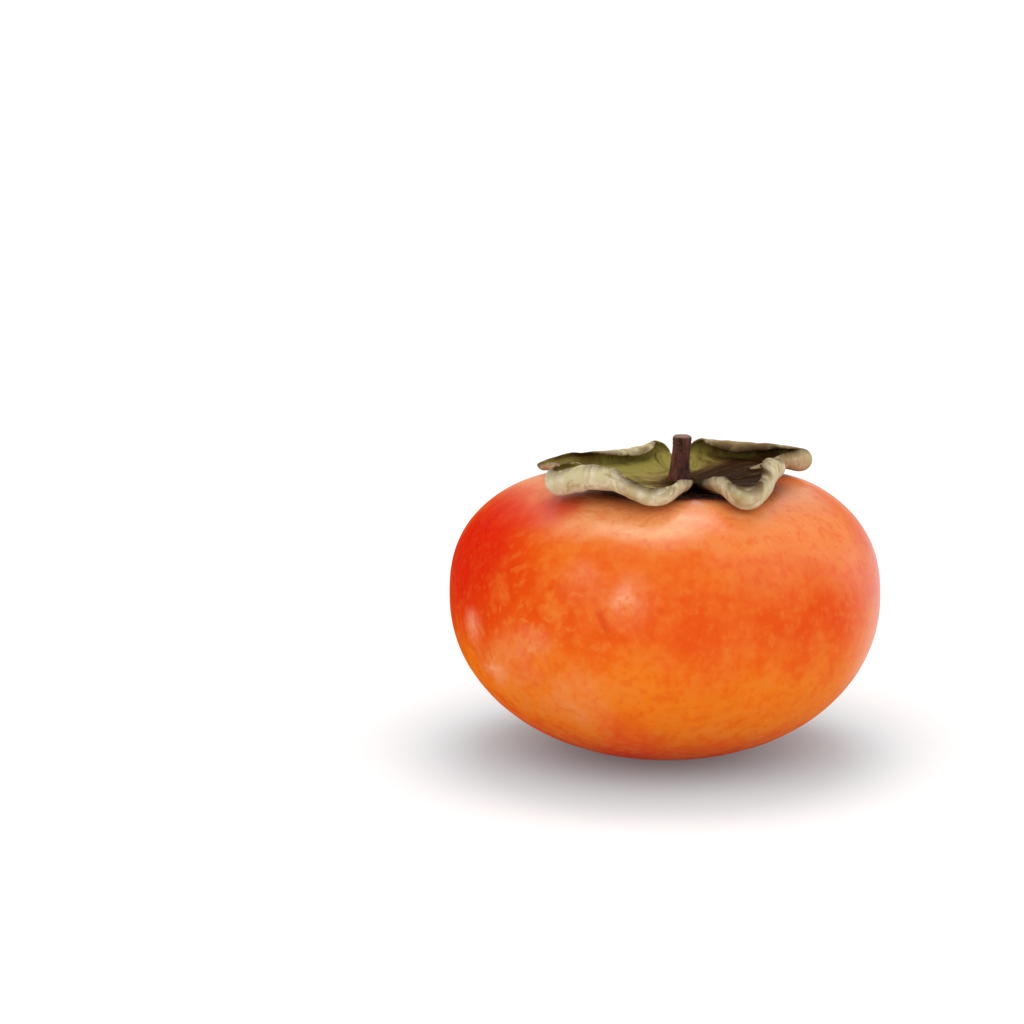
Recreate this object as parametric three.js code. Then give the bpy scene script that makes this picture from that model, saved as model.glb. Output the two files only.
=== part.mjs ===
import * as THREE from 'three';

// A squat persimmon standing on its blossom end.
// Lengths are in millimetres and angles in degrees. +Z is up and the front is -Y.

// The fruit: a flattened round body, a little square in plan, with a basin in its top.
const EQUATOR_RADIUS = 40;
const EQUATOR_HEIGHT = 29.4;
const SIDES = 4;
const SQUARENESS = 0.012;
const UNDERSIDE = { rise: 30, power: 2.08 };
const SHOULDER = { rise: 24.5, power: 2.47 };
const BASIN = { x: 1.5, y: 0, depth: 4.9, radius: 18.8, power: 3.2 };
const SHOULDER_WAVE = { height: 0.35, radius: 24, spread: 9, turn: 12 };

// The blossom end: a flat foot where the underside is cut level, a dimple and four furrows.
const FOOT_RADIUS = EQUATOR_RADIUS
  * (1 - (EQUATOR_HEIGHT / UNDERSIDE.rise) ** UNDERSIDE.power) ** (1 / UNDERSIDE.power);
const DIMPLE = { radius: 2.3, depth: 1.3, power: 4, rim: 3.6 };
const DIMPLE_RING_SHARES = [0.4, 0.8, 1.15, 1.6];
const FURROW = { count: 4, turn: 45, depth: 0.55, width: 1.4, from: 12, to: 23 };

// The calyx: a leathery sheet with four lobes between four notches.
const CALYX = { x: 2.5, y: 0, gap: 0.35, rootThickness: 1.2, edgeThickness: 0.7 };
const COLLAR = { outer: 3.6, top: 3.1, inner: 2.5, height: 0.5 };
const SOCKET = { radius: 2.4, floor: 0.7 };
const ROOT_PULL = 0.25;
const EDGE_PULL = 0.1;
const NOTCH_CORNER = { outward: 1.6, side: 7 };
const NOTCH_ROLL = { radius: 1, curl: 75, lift: 1.3 };
const SIDE_ROLL = { radius: 1.5, curl: 110, lift: 0.8 };

// Each notch with the lobe that follows it, going round from the front notch.
// Turns and reaches are polar, about the middle of the calyx, up to where the margin starts to roll.
// The lift is how far that line stands off the skin.
const NOTCHES = [
  { turn: -76, reach: 8.4, bottom: 9, mouth: 9 },
  { turn: 8, reach: 12, bottom: 11, mouth: 13 },
  { turn: 91, reach: 13, bottom: 9, mouth: 11 },
  { turn: 189, reach: 10, bottom: 12, mouth: 14 },
];
const LOBES = [
  [{ turn: -68, reach: 30, radius: 2.2, curl: 165, lift: 0.1 },
    { turn: -50, reach: 22.5, radius: 2.5, curl: 180, lift: 0.5 },
    { turn: -17, reach: 17, radius: 2.2, curl: 190, lift: 1.2 }],
  [{ turn: 24, reach: 28, radius: 2.1, curl: 200, lift: 0.5 },
    { turn: 52, reach: 21.5, radius: 1.7, curl: 265, lift: 0.2 },
    { turn: 76, reach: 21, radius: 1.6, curl: 265, lift: 0.6 }],
  [{ turn: 106, reach: 18, radius: 1.3, curl: 260, lift: 0.1 },
    { turn: 138, reach: 16.5, radius: 1.4, curl: 240, lift: 0 },
    { turn: 170, reach: 30.5, radius: 1, curl: 50, lift: 0 }],
  [{ turn: 218, reach: 31.5, radius: 2.6, curl: 175, lift: 0 },
    { turn: 240, reach: 24, radius: 2, curl: 180, lift: 3.6 },
    { turn: 264, reach: 31, radius: 1.5, curl: 170, lift: 0 }],
];

// The stalk, from its foot in the socket of the calyx to its cut end.
const STEM = { top: 29.8, gap: 0.3, lean: 0.5, leanFrom: 0.1, ridges: 5, ridgeDepth: 0.035, twist: 40 };
const STEM_OUTLINE = [
  { along: 0, radius: 2.0 }, { along: 0.06, radius: 2.1 }, { along: 0.16, radius: 2.02 },
  { along: 0.3, radius: 1.82 }, { along: 0.48, radius: 1.7 }, { along: 0.68, radius: 1.64 },
  { along: 0.84, radius: 1.66 }, { along: 0.93, radius: 1.74 }, { along: 0.975, radius: 1.7 },
  { along: 1, radius: 1.45 },
];

// The dry remains of the style in the dimple.
const STYLE_GAP = 0.3;
const STYLE_OUTLINE = [
  { down: 0, radius: 1.1 }, { down: 0.25, radius: 1.0 },
  { down: 0.5, radius: 0.6 }, { down: 0.75, radius: 0.35 },
];

// Preview finishes.
const SKIN = { color: '#e8641c', roughness: 0.4, metalness: 0 };
const DRY_LEAF = { color: '#bdb287', roughness: 0.75, metalness: 0 };
const BARK = { color: '#5c2c22', roughness: 0.75, metalness: 0 };
const DRY_STYLE = { color: '#2e1d14', roughness: 0.75, metalness: 0 };

// Mesh fineness.
const FRUIT_COLUMNS = 84;
const FLANK_RINGS = 14;
const SHOULDER_RINGS = 18;
const CALYX_COLUMNS = 144;
const SHEET_RINGS = 7;
const ROLL_RINGS = 8;
const LOOP_STEPS = 24;
const SMALL_COLUMNS = 28;

const radians = THREE.MathUtils.degToRad;
const { smoothstep, lerp } = THREE.MathUtils;
const around = (column, columns) => (column / columns) * 2 * Math.PI;
const polar = (turn, reach) => [reach * Math.cos(turn), reach * Math.sin(turn)];

/** Joins rings of points, from a lower pole to an upper one, into one closed body facing out. */
function loft(lowerPole, rings, upperPole, turnedFrom = rings.length) {
  const columns = rings[0].length;
  const points = [lowerPole, ...rings.flat(), upperPole];
  const at = (ring, column) => 1 + ring * columns + (column % columns);
  const faces = [];
  for (let column = 0; column < columns; column += 1) {
    faces.push(0, at(0, column + 1), at(0, column));
    for (let ring = 0; ring + 1 < rings.length; ring += 1) {
      const [a, b] = [at(ring, column), at(ring, column + 1)];
      const [c, d] = [at(ring + 1, column + 1), at(ring + 1, column)];
      faces.push(...(ring < turnedFrom ? [a, b, c, a, c, d] : [a, b, d, b, c, d]));
    }
    faces.push(at(rings.length - 1, column), at(rings.length - 1, column + 1), points.length - 1);
  }
  const geometry = new THREE.BufferGeometry().setFromPoints(points);
  geometry.setIndex(faces);
  geometry.computeVertexNormals();
  return geometry;
}

const ovalHeight = (radius, { rise, power }) => (
  rise * Math.max(0, 1 - (radius / EQUATOR_RADIUS) ** power) ** (1 / power));

const ovalRadius = (turn, power) => EQUATOR_RADIUS * Math.sin(turn) ** (2 / power);

const squareFactor = (turn) => 1 + SQUARENESS * (1 - Math.cos(SIDES * turn)) / 2;

/** Height of the skin on the upper half, with its basin and four soft shoulders. */
function shoulderHeight(x, y) {
  const turn = Math.atan2(y, x);
  const radius = Math.hypot(x, y) / squareFactor(turn);
  const basin = BASIN.depth
    * Math.exp(-((Math.hypot(x - BASIN.x, y - BASIN.y) / BASIN.radius) ** BASIN.power));
  const bell = Math.exp(-(((radius - SHOULDER_WAVE.radius) / SHOULDER_WAVE.spread) ** 2));
  const wave = SHOULDER_WAVE.height * bell * Math.cos(SIDES * (turn - radians(SHOULDER_WAVE.turn)));
  return EQUATOR_HEIGHT + ovalHeight(radius, SHOULDER) - basin + wave;
}

/** Height of the skin on the lower half, with the foot, the dimple and the furrows. */
function undersideHeight(x, y) {
  const turn = Math.atan2(y, x);
  const radius = Math.hypot(x, y) / squareFactor(turn);
  const dimple = DIMPLE.depth * Math.exp(-((radius / DIMPLE.radius) ** DIMPLE.power));
  const step = 2 * Math.PI / FURROW.count;
  const offset = turn - radians(FURROW.turn);
  const across = radius * Math.sin(offset - step * Math.round(offset / step));
  const fade = (1 - smoothstep(radius, FURROW.from, FURROW.to)) * smoothstep(radius, 0, DIMPLE.rim);
  const furrow = FURROW.depth * fade * Math.exp(-((across / FURROW.width) ** 2));
  return Math.max(0, EQUATOR_HEIGHT - ovalHeight(radius, UNDERSIDE)) + dimple + furrow;
}

function fruitGeometry() {
  const ring = (radius, height) => Array.from({ length: FRUIT_COLUMNS }, (_, column) => {
    const turn = around(column, FRUIT_COLUMNS);
    const [x, y] = polar(turn, radius * squareFactor(turn));
    return new THREE.Vector3(x, y, height(x, y));
  });
  const footTurn = Math.asin((FOOT_RADIUS / EQUATOR_RADIUS) ** (UNDERSIDE.power / 2));
  const dimpleRadii = DIMPLE_RING_SHARES.map((share) => share * DIMPLE.radius);
  const footRadii = [...dimpleRadii, (DIMPLE.rim + FOOT_RADIUS) / 2];
  const flankRadii = Array.from({ length: FLANK_RINGS + 1 }, (_, step) => (
    ovalRadius(lerp(footTurn, Math.PI / 2, step / FLANK_RINGS), UNDERSIDE.power)));
  const shoulderRadii = Array.from({ length: SHOULDER_RINGS - 1 }, (_, step) => (
    ovalRadius(lerp(Math.PI / 2, 0, (step + 1) / SHOULDER_RINGS), SHOULDER.power)));
  return loft(
    new THREE.Vector3(0, 0, undersideHeight(0, 0)),
    [
      ...[...footRadii, ...flankRadii].map((radius) => ring(radius, undersideHeight)),
      ...shoulderRadii.map((radius) => ring(radius, shoulderHeight)),
    ],
    new THREE.Vector3(0, 0, shoulderHeight(0, 0)),
  );
}

/** Control points of the line where the margin starts to roll, as x, y, roll radius, curl and lift. */
function marginControls() {
  const control = (turn, reach, { radius, curl, lift }) => (
    [...polar(radians(turn), reach), radius, curl, lift]);
  return NOTCHES.flatMap((notch, index) => {
    const lobe = LOBES[index];
    const next = NOTCHES[(index + 1) % NOTCHES.length];
    return [
      control(notch.turn, notch.reach, NOTCH_ROLL),
      control(notch.turn + notch.bottom, notch.reach + NOTCH_CORNER.outward, NOTCH_ROLL),
      control(notch.turn + notch.mouth, notch.reach + NOTCH_CORNER.side, SIDE_ROLL),
      ...lobe.map((corner) => control(corner.turn, corner.reach, corner)),
      control(next.turn - next.mouth, next.reach + NOTCH_CORNER.side, SIDE_ROLL),
      control(next.turn - next.bottom, next.reach + NOTCH_CORNER.outward, NOTCH_ROLL),
    ];
  });
}

/** A smooth closed curve drawn by its control points, as evenly spaced samples. */
function smoothLoop(controls, count) {
  const pick = (index) => controls[(index + controls.length) % controls.length];
  const fine = controls.flatMap((_, index) => Array.from({ length: LOOP_STEPS }, (__, step) => {
    const t = step / LOOP_STEPS;
    const weights = [(1 - t) ** 3, 3 * t ** 3 - 6 * t ** 2 + 4, -3 * t ** 3 + 3 * t ** 2 + 3 * t + 1, t ** 3];
    return pick(index).map((_value, axis) => (
      weights.reduce((sum, weight, near) => sum + weight * pick(index + near - 1)[axis], 0) / 6));
  }));
  fine.push(fine[0]);
  const along = [0];
  for (let index = 1; index < fine.length; index += 1) {
    const [from, to] = [fine[index - 1], fine[index]];
    along.push(along[index - 1] + Math.hypot(to[0] - from[0], to[1] - from[1]));
  }
  let index = 0;
  return Array.from({ length: count }, (_, sample) => {
    const goal = (sample / count) * along[along.length - 1];
    while (along[index + 1] < goal) index += 1;
    const share = (goal - along[index]) / (along[index + 1] - along[index]);
    return fine[index].map((value, axis) => lerp(value, fine[index + 1][axis], share));
  });
}

/** Height of the middle of the calyx sheet where it lies on the skin, in the calyx's own plan. */
function sheetHeight(x, y) {
  return shoulderHeight(CALYX.x + x, CALYX.y + y) + CALYX.gap + CALYX.rootThickness / 2;
}

/** One column of the calyx sheet, from the collar to the tip of the rolled margin. */
function sheetColumn(root, edge, outward, roll) {
  const span = root.distanceTo(edge);
  const start = root.clone().multiplyScalar(1 + ROOT_PULL * span / root.length());
  const end = edge.clone().addScaledVector(outward, -EDGE_PULL * span);
  const path = new THREE.CubicBezierCurve(root, start, end, edge);
  const column = Array.from({ length: SHEET_RINGS + 1 }, (_, step) => {
    const share = step / SHEET_RINGS;
    const { x, y } = path.getPoint(share);
    return new THREE.Vector3(x, y, sheetHeight(x, y) + roll.lift * smoothstep(share, 0, 1));
  });
  const foot = column[SHEET_RINGS];
  const behind = edge.clone().addScaledVector(outward, -roll.radius);
  const fall = sheetHeight(edge.x, edge.y) - sheetHeight(behind.x, behind.y);
  const forward = new THREE.Vector3(outward.x, outward.y, fall / roll.radius).normalize();
  const side = new THREE.Vector3(-outward.y, outward.x, 0);
  const upward = forward.clone().cross(side).normalize();
  for (let step = 1; step <= ROLL_RINGS; step += 1) {
    const turn = radians(roll.curl) * step / ROLL_RINGS;
    column.push(foot.clone()
      .addScaledVector(forward, roll.radius * Math.sin(turn))
      .addScaledVector(upward, roll.radius * (1 - Math.cos(turn))));
  }
  return column;
}

/** The middle surface of the calyx as columns of points, going round. */
function sheetColumns() {
  const loop = smoothLoop(marginControls(), CALYX_COLUMNS);
  const firstTurn = radians(NOTCHES[0].turn);
  return loop.map(([x, y, radius, curl, lift], column) => {
    const before = loop[(column + CALYX_COLUMNS - 1) % CALYX_COLUMNS];
    const after = loop[(column + 1) % CALYX_COLUMNS];
    const outward = new THREE.Vector2(after[1] - before[1], before[0] - after[0]).normalize();
    const root = new THREE.Vector2(...polar(firstTurn + around(column, CALYX_COLUMNS), COLLAR.outer));
    return sheetColumn(root, new THREE.Vector2(x, y), outward, { radius, curl, lift });
  });
}

/** Points set off the middle surface by half the thickness, one ring for each step outward. */
function offsetRings(columns, side) {
  const steps = columns[0].length;
  return Array.from({ length: steps }, (_, step) => columns.map((points, column) => {
    const after = columns[(column + 1) % columns.length][step];
    const before = columns[(column + columns.length - 1) % columns.length][step];
    const out = points[Math.min(step + 1, steps - 1)].clone().sub(points[Math.max(step - 1, 0)]);
    const normal = out.cross(after.clone().sub(before)).normalize();
    const thickness = lerp(CALYX.rootThickness, CALYX.edgeThickness, Math.min(1, step / SHEET_RINGS));
    return points[step].clone().addScaledVector(normal, side * thickness / 2);
  }));
}

function calyxGeometry() {
  const columns = sheetColumns();
  const lower = offsetRings(columns, -1);
  const upper = offsetRings(columns, 1).reverse();
  const firstTurn = radians(NOTCHES[0].turn);
  const ring = (radius, height) => columns.map((_, column) => (
    new THREE.Vector3(...polar(firstTurn + around(column, CALYX_COLUMNS), radius), height)));
  const top = sheetHeight(0, 0) + CALYX.rootThickness / 2;
  const bottom = top - CALYX.rootThickness;
  const geometry = loft(
    new THREE.Vector3(0, 0, bottom),
    [
      ...lower, ...upper,
      ring(COLLAR.top, top + COLLAR.height), ring(COLLAR.inner, top + COLLAR.height),
      ring(SOCKET.radius, bottom + SOCKET.floor),
    ],
    new THREE.Vector3(0, 0, bottom + SOCKET.floor),
    lower.length,
  );
  return geometry.translate(CALYX.x, CALYX.y, 0);
}

function stemGeometry() {
  const foot = sheetHeight(0, 0) - CALYX.rootThickness / 2 + SOCKET.floor + STEM.gap;
  const height = EQUATOR_HEIGHT + STEM.top - foot;
  const centre = (along) => new THREE.Vector3(
    CALYX.x + STEM.lean * smoothstep(along, STEM.leanFrom, 1), CALYX.y, foot + height * along);
  const rings = STEM_OUTLINE.map(({ along, radius }) => (
    Array.from({ length: SMALL_COLUMNS }, (_, column) => {
      const turn = around(column, SMALL_COLUMNS);
      const ridge = 1 + STEM.ridgeDepth * Math.cos(STEM.ridges * turn + radians(STEM.twist) * along);
      const [x, y] = polar(turn, radius * ridge);
      return centre(along).add(new THREE.Vector3(x, y, 0));
    })));
  return loft(centre(0), rings, centre(1));
}

function styleGeometry() {
  const top = undersideHeight(0, 0) - STYLE_GAP;
  const rings = STYLE_OUTLINE.map(({ down, radius }) => (
    Array.from({ length: SMALL_COLUMNS }, (_, column) => (
      new THREE.Vector3(...polar(around(column, SMALL_COLUMNS), radius), top - down)))));
  const tip = top - STYLE_OUTLINE[STYLE_OUTLINE.length - 1].down;
  return loft(new THREE.Vector3(0, 0, tip), rings.reverse(), new THREE.Vector3(0, 0, top));
}

/** A named mesh with a finish of its own. */
function piece(name, geometry, finish) {
  const mesh = new THREE.Mesh(geometry, new THREE.MeshStandardMaterial(finish));
  mesh.name = name;
  return mesh;
}

const persimmon = new THREE.Group();
persimmon.name = 'persimmon';
persimmon.add(
  piece('fruit', fruitGeometry(), SKIN),
  piece('calyx', calyxGeometry(), DRY_LEAF),
  piece('stem', stemGeometry(), BARK),
  piece('style_point', styleGeometry(), DRY_STYLE),
);

export default persimmon;
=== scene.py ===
"""A ripe squat persimmon standing on its blossom end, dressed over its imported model.

Lengths are in metres, named values in millimetres are multiplied by MM, and turns are in degrees.
"""
import logging
import math
from dataclasses import dataclass, field, fields
from enum import Enum
from typing import Any, Callable, Optional, Sequence, Union

import bpy
import numpy as np
from mathutils import Matrix, Vector


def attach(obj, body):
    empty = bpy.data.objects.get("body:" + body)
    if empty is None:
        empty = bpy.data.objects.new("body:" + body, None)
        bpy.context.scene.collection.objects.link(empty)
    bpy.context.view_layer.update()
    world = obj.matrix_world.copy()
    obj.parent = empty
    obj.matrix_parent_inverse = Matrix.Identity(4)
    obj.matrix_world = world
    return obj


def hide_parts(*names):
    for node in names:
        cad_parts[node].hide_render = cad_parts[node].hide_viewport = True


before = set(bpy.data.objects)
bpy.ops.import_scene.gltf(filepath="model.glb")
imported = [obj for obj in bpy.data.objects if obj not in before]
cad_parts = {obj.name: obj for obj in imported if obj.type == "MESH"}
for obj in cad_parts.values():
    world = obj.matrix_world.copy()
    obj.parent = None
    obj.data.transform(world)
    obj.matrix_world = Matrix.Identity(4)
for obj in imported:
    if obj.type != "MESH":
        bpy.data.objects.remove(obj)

LOG = logging.getLogger("persimmon")
MM = 0.001
BODY = "root"
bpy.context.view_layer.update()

Colour = tuple[float, float, float, float]
Links = dict[Union[str, int], Any]


def colour(code: str) -> Colour:
    """Turn a hexadecimal display colour into the linear colour that shaders take.

    Args:
        code: six hexadecimal digits, two each for red, green and blue.

    Returns:
        Linear red, green and blue, and an alpha of one.
    """
    shown = [int(code[start:start + 2], 16) / 255 for start in (0, 2, 4)]
    red, green, blue = (v / 12.92 if v <= 0.04045 else ((v + 0.055) / 1.055) ** 2.4 for v in shown)
    return (red, green, blue, 1.0)


def _operator(operation: str, reflected: bool = False) -> Callable[..., "Expression"]:
    """Make one of the operators of expressions.

    Args:
        operation: its Math node's operation.
        reflected: whether the expression's own value comes last.

    Returns:
        The operator, as a method.
    """
    def apply(self: "Expression", *others: Any) -> "Expression":
        """Add the operator's Math node."""
        return self.math(operation, *((*others, self) if reflected else (self, *others)))
    return apply


class Expression:
    """A number in a node tree. Python's operators on it add Math nodes."""

    def __init__(self, graph: "Graph", socket: bpy.types.NodeSocket) -> None:
        """Wrap an output socket of a graph."""
        self.graph = graph
        self.socket = socket

    def math(self, operation: str, *values: Any) -> "Expression":
        """Apply a Math node's operation to numbers or expressions."""
        return self.graph.number("ShaderNodeMath", {"operation": operation}, dict(enumerate(values)))

    __add__ = __radd__ = _operator("ADD")
    __mul__ = __rmul__ = _operator("MULTIPLY")
    __sub__, __rsub__ = _operator("SUBTRACT"), _operator("SUBTRACT", reflected=True)
    __truediv__, __rtruediv__ = _operator("DIVIDE"), _operator("DIVIDE", reflected=True)
    __pow__ = _operator("POWER")
    __abs__ = _operator("ABSOLUTE")

    def __neg__(self) -> "Expression":
        """Change the sign."""
        return self * -1.0


Quantity = Union[float, np.ndarray, Expression]


def _either(operation: str, on_arrays: Callable[..., Any]) -> Callable[..., Quantity]:
    """Make a function that takes numbers, arrays or expressions.

    Args:
        operation: the Math node's operation, for expressions.
        on_arrays: the same function for numbers and arrays.

    Returns:
        The function for both.
    """
    def apply(*values: Quantity) -> Quantity:
        """Apply the operation to its values."""
        wrapped = next((value for value in values if isinstance(value, Expression)), None)
        return wrapped.math(operation, *values) if wrapped else on_arrays(*values)
    return apply


sine = _either("SINE", np.sin)
cosine = _either("COSINE", np.cos)
exponential = _either("EXPONENT", np.exp)
arc_tangent = _either("ARCTAN2", np.arctan2)
greater = _either("MAXIMUM", np.maximum)
whole = _either("ROUND", np.round)


def root_of_squares(x: Quantity, y: Quantity) -> Quantity:
    """Length of a plan vector."""
    return (x * x + y * y) ** 0.5


def ease(value: Quantity, start: Quantity, end: Quantity) -> Quantity:
    """Rise smoothly from 0 at start to 1 at end.

    Args:
        value: where to evaluate.
        start: the value that gives 0.
        end: the value that gives 1.

    Returns:
        The eased share.
    """
    share = (value - start) / (end - start)
    if isinstance(share, Expression):
        share = share.math("MINIMUM", greater(share, 0.0), 1.0)
    else:
        share = np.clip(share, 0.0, 1.0)
    return share * share * (3.0 - 2.0 * share)


def around(noise: Quantity, middle: Quantity, amount: float) -> Quantity:
    """A value that a noise from 0 to 1 varies round its middle, over that amount in all."""
    return middle + (noise - 0.5) * amount


@dataclass(frozen=True)
class Pattern:
    """A noise: its cells to the metre, its octaves, how strong the fine ones are, and its warp."""

    scale: float
    detail: float = 3.0
    roughness: float = 0.5
    distortion: float = 0.0


@dataclass(frozen=True)
class Step:
    """A soft step from 0 where a value is at its start to its strength at its end, up or down."""

    start: float
    end: float
    strength: float = 1.0

    def of(self, value: Quantity) -> Quantity:
        """The step's mask for a value."""
        return ease(value, self.start, self.end) * self.strength


@dataclass(frozen=True)
class Spot:
    """A soft round mark: its place, the distance at which it ends, its full core and its strength."""

    centre: tuple[float, float, float]
    reach: float
    core: float = 0.0
    strength: float = 1.0


@dataclass(frozen=True)
class Wave:
    """Waves round a ring: strength, count and phase, how they sway to and fro, and how they slant."""

    strength: float
    count: int
    phase: float
    sway: float = 0.0
    sway_count: int = 0
    slant: float = 0.0

    def at(self, turns: np.ndarray, share: Quantity = 0.0) -> np.ndarray:
        """Their height at each turn, and at a share of the way across the ring."""
        shift = self.phase + self.sway * np.sin(self.sway_count * turns) + self.slant * share
        return self.strength * np.sin(self.count * turns + shift)


class Graph:
    """Builds a node tree, for a material or for geometry."""

    def __init__(self, tree: bpy.types.NodeTree) -> None:
        """Start on an empty tree."""
        self.tree = tree
        tree.nodes.clear()

    def add(self, kind: str, settings: Optional[dict[str, Any]] = None,
            inputs: Optional[Links] = None) -> bpy.types.Node:
        """Add a node, make its settings, then fill its sockets.

        Args:
            kind: the node's type.
            settings: its properties, or "stops" for a ramp's positions and colours.
            inputs: values, sockets or expressions by socket name, identifier or place.

        Returns:
            The node.
        """
        node = self.tree.nodes.new(kind)
        for name, value in (settings or {}).items():
            if name == "stops":
                ramp = node.color_ramp.elements
                while len(ramp) < len(value):
                    ramp.new(1.0)
                for stop, (position, shade) in zip(ramp, value):
                    stop.position, stop.color = position, shade
            else:
                setattr(node, name, value)
        for key, value in (inputs or {}).items():
            socket = self.socket(node.inputs, key)
            if isinstance(value, Expression):
                self.tree.links.new(value.socket, socket)
            elif isinstance(value, bpy.types.NodeSocket):
                self.tree.links.new(value, socket)
            else:
                socket.default_value = value
        return node

    @staticmethod
    def socket(sockets: Any, key: Union[str, int]) -> bpy.types.NodeSocket:
        """Find a socket by place, identifier or name."""
        return sockets[key] if isinstance(key, int) else next(
            (found for found in sockets if found.identifier == key), None) or sockets[key]

    def number(self, kind: str, settings: Optional[dict[str, Any]] = None,
               inputs: Optional[Links] = None, output: Union[str, int] = 0) -> Expression:
        """Add a node and wrap one of its outputs as a number."""
        return Expression(self, self.socket(self.add(kind, settings, inputs).outputs, output))

    def split(self, vector: bpy.types.NodeSocket) -> tuple[Expression, Expression, Expression]:
        """Split a vector into its x, y and z."""
        parts = self.add("ShaderNodeSeparateXYZ", inputs={0: vector}).outputs
        return Expression(self, parts[0]), Expression(self, parts[1]), Expression(self, parts[2])

    def join(self, x: Any, y: Any, z: Any) -> bpy.types.NodeSocket:
        """Join x, y and z into a vector."""
        return self.add("ShaderNodeCombineXYZ", inputs={0: x, 1: y, 2: z}).outputs[0]

    def noise(self, vector: bpy.types.NodeSocket, pattern: Pattern) -> Expression:
        """Add a Noise Texture and give its factor, which is about 0.5 on average."""
        return self.number("ShaderNodeTexNoise", inputs={
            "Vector": vector, "Scale": pattern.scale, "Detail": pattern.detail,
            "Roughness": pattern.roughness, "Distortion": pattern.distortion})

    def layers(self, base: Any, *coats: tuple[Any, Any]) -> bpy.types.NodeSocket:
        """Lay colours over a base, one after the other.

        Args:
            base: the first colour.
            coats: the colours over it, each with the mask that shows where it lies.

        Returns:
            The mixed colour's socket.
        """
        for shade, mask in coats:
            node = self.add("ShaderNodeMix", {"data_type": "RGBA"}, {
                "Factor_Float": mask, "A_Color": base, "B_Color": shade})
            base = self.socket(node.outputs, "Result_Color")
        return base

    def near(self, vector: bpy.types.NodeSocket, spot: Spot) -> Expression:
        """The mask of a spot: its strength in its core, and 0 past its reach."""
        distance = self.number("ShaderNodeVectorMath", {"operation": "DISTANCE"},
                               {0: vector, 1: spot.centre}, "Value")
        return Step(spot.reach, spot.core, spot.strength).of(distance)


@dataclass(frozen=True)
class FruitForm:
    """Sizes of the fruit and the rule of its skin, for numbers, arrays or node sockets alike."""

    equator_radius: Quantity = 40 * MM
    equator_height: Quantity = 29.4 * MM
    squareness: Quantity = 0.012
    underside_rise: Quantity = 30 * MM
    underside_power: Quantity = 2.08
    shoulder_rise: Quantity = 24.5 * MM
    shoulder_power: Quantity = 2.47
    basin_x: Quantity = 1.5 * MM
    basin_depth: Quantity = 4.9 * MM
    basin_radius: Quantity = 18.8 * MM
    basin_power: Quantity = 3.2
    wave_height: Quantity = 0.35 * MM
    wave_radius: Quantity = 24 * MM
    wave_spread: Quantity = 9 * MM
    wave_turn: Quantity = math.radians(12)
    dimple_radius: Quantity = 2.3 * MM
    dimple_depth: Quantity = 1.3 * MM
    dimple_power: Quantity = 4.0
    dimple_rim: Quantity = 3.6 * MM
    furrow_depth: Quantity = 0.55 * MM
    furrow_width: Quantity = 1.4 * MM
    furrow_start: Quantity = 12 * MM
    furrow_end: Quantity = 23 * MM

    def square_factor(self, turn: Quantity) -> Quantity:
        """How far the plan stands out from a circle at a turn."""
        return 1.0 + self.squareness * (1.0 - cosine(4.0 * turn)) / 2.0

    def oval_height(self, radius: Quantity, rise: Quantity, power: Quantity) -> Quantity:
        """Height over the equator of an oval of that rise, at a radius."""
        return rise * greater(0.0, 1.0 - (radius / self.equator_radius) ** power) ** (1.0 / power)

    def plan(self, x: Quantity, y: Quantity) -> tuple[Quantity, Quantity]:
        """The turn of a plan point and the radius of the ring that it lies on."""
        turn = arc_tangent(y, x)
        return turn, root_of_squares(x, y) / self.square_factor(turn)

    def shoulder_height(self, x: Quantity, y: Quantity) -> Quantity:
        """Height of the skin on the upper half, with its basin and four soft shoulders.

        Args:
            x: plan places from left to right.
            y: plan places from front to back.

        Returns:
            The height over the ground at each place.
        """
        turn, radius = self.plan(x, y)
        from_basin = root_of_squares(x - self.basin_x, y) / self.basin_radius
        basin = self.basin_depth * exponential(-(from_basin ** self.basin_power))
        off_wave = (radius - self.wave_radius) / self.wave_spread
        wave = self.wave_height * exponential(-(off_wave * off_wave)) * cosine(4.0 * (turn - self.wave_turn))
        rise = self.oval_height(radius, self.shoulder_rise, self.shoulder_power)
        return self.equator_height + rise - basin + wave

    def underside_height(self, x: Quantity, y: Quantity) -> Quantity:
        """Height of the skin on the lower half, with the foot, the dimple and the furrows.

        Args:
            x: plan places from left to right.
            y: plan places from front to back.

        Returns:
            The height over the ground at each place.
        """
        turn, radius = self.plan(x, y)
        dimple = self.dimple_depth * exponential(-((radius / self.dimple_radius) ** self.dimple_power))
        across = off_diagonal(turn, radius) / self.furrow_width
        fade = (1.0 - ease(radius, self.furrow_start, self.furrow_end)) * ease(radius, 0.0, self.dimple_rim)
        furrow = self.furrow_depth * fade * exponential(-(across * across))
        rise = self.oval_height(radius, self.underside_rise, self.underside_power)
        return greater(0.0, self.equator_height - rise) + dimple + furrow


def off_diagonal(turn: Quantity, radius: Quantity) -> Quantity:
    """How far a place lies off the nearer of the two diagonals of the plan."""
    offset = turn - math.pi / 4
    return radius * sine(offset - math.pi / 2 * whole(offset / (math.pi / 2)))


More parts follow.
